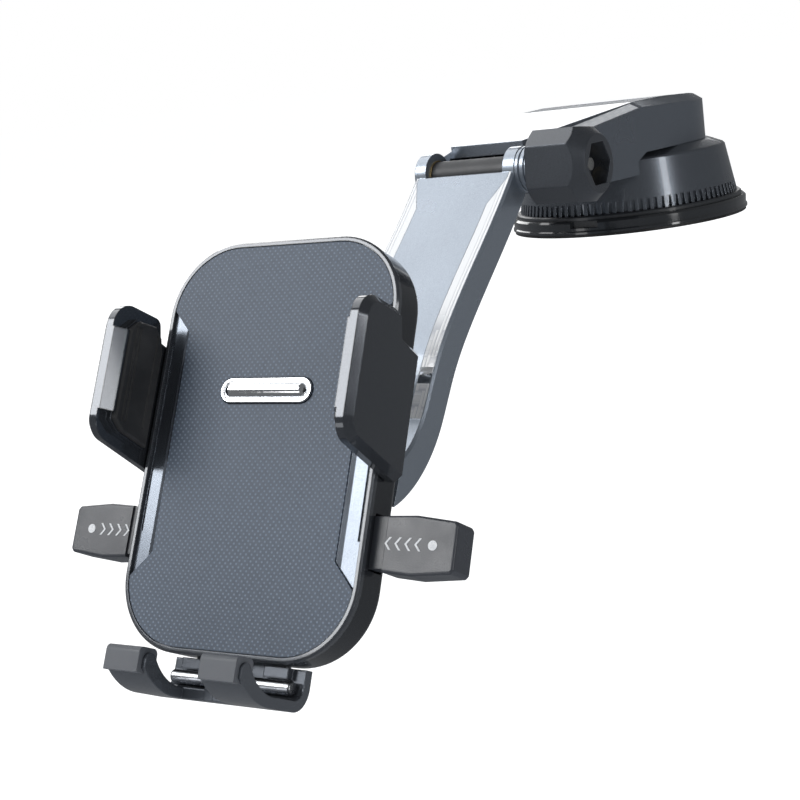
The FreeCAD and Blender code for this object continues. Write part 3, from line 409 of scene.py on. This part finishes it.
# The studio: a plain pale floor below the hanging cradle, a pale surround, and soft panels.
floor_gap = 0.06
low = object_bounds()[0]
bpy.ops.mesh.primitive_plane_add(size=40.0, location=(0, 0, low.z - floor_gap))
floor = bpy.context.object
floor.name = "studio_floor"
paper = bpy.data.materials.new("pale_paper")
paper.use_nodes = True
coat = paper.node_tree.nodes["Principled BSDF"]
coat.inputs["Base Color"].default_value = (0.3, 0.3, 0.3, 1)
coat.inputs["Roughness"].default_value = 1.0
coat.inputs["Specular IOR Level"].default_value = 0.0
coat.inputs["Emission Color"].default_value = (0.985, 0.99, 1.0, 1)
coat.inputs["Emission Strength"].default_value = 0.97
floor.data.materials.append(paper)
floor.visible_glossy = False

world = bpy.data.worlds.new("studio")
bpy.context.scene.world = world
world.use_nodes = True
tree = world.node_tree
seen = tree.nodes["Background"]
seen.inputs["Color"].default_value = (1, 1, 1, 1)
seen.inputs["Strength"].default_value = 1.0
around = tree.nodes.new("ShaderNodeBackground")
around.inputs["Color"].default_value = (0.93, 0.96, 1.0, 1)
around.inputs["Strength"].default_value = 0.16
ray = tree.nodes.new("ShaderNodeLightPath")
blend = tree.nodes.new("ShaderNodeMixShader")
tree.links.new(ray.outputs["Is Camera Ray"], blend.inputs[0])
tree.links.new(around.outputs[0], blend.inputs[1])
tree.links.new(seen.outputs[0], blend.inputs[2])
tree.links.new(blend.outputs[0], tree.nodes["World Output"].inputs["Surface"])


def soft_panel(name, toward, distance, width, height, power):
    """A softbox that faces the middle of the mount."""
    middle = Vector((0.0, -0.11, -0.02))
    away = Vector(toward).normalized()
    data = bpy.data.lights.new(name, "AREA")
    data.shape = "RECTANGLE"
    data.size, data.size_y, data.energy = width, height, power
    lamp = bpy.data.objects.new(name, data)
    lamp.rotation_mode = "QUATERNION"
    lamp.location = middle + away * distance
    lamp.rotation_quaternion = (-away).to_track_quat("-Z", "Y")
    bpy.context.scene.collection.objects.link(lamp)


soft_panel("front_left_panel", (-0.44, -0.65, 0.62), 1.5, 1.0, 0.7, 15.0)
soft_panel("high_left_panel", (-0.59, 0.12, 0.8), 1.5, 1.3, 0.8, 6.0)
soft_panel("low_front_panel", (-0.2, -1.0, -0.1), 1.7, 1.0, 0.5, 2.5)
soft_panel("rear_left_panel", (-0.6, 0.72, 0.38), 1.7, 1.5, 0.6, 7.0)
soft_panel("right_strip", (0.95, -0.25, 0.2), 1.4, 0.18, 1.2, 4.0)


# The camera, level with the mount's face and a little above it, held with a slight roll.
azimuth, elevation, roll = 0.64716, 0.21289, -0.13209
stand_off, slide_x, slide_y = 0.52193, -0.07937, -0.06247
back = Vector((math.sin(azimuth) * math.cos(elevation), -math.cos(azimuth) * math.cos(elevation),
               math.sin(elevation)))
level = Vector((math.cos(azimuth), math.sin(azimuth), 0.0))
upright = back.cross(level)
right = math.cos(roll) * level + math.sin(roll) * upright
up = -math.sin(roll) * level + math.cos(roll) * upright
spot_at = back * stand_off + right * slide_x + up * slide_y
camera = bpy.data.objects.new("camera", bpy.data.cameras.new("camera"))
camera.data.sensor_width = 36.0
camera.data.lens = 1509.01 / 800 * 36.0
camera.data.clip_start = 0.01
camera.matrix_world = Matrix((
    (right.x, up.x, back.x, spot_at.x), (right.y, up.y, back.y, spot_at.y),
    (right.z, up.z, back.z, spot_at.z), (0, 0, 0, 1)))
bpy.context.scene.collection.objects.link(camera)
bpy.context.scene.camera = camera
bpy.context.scene.view_settings.view_transform = "Standard"
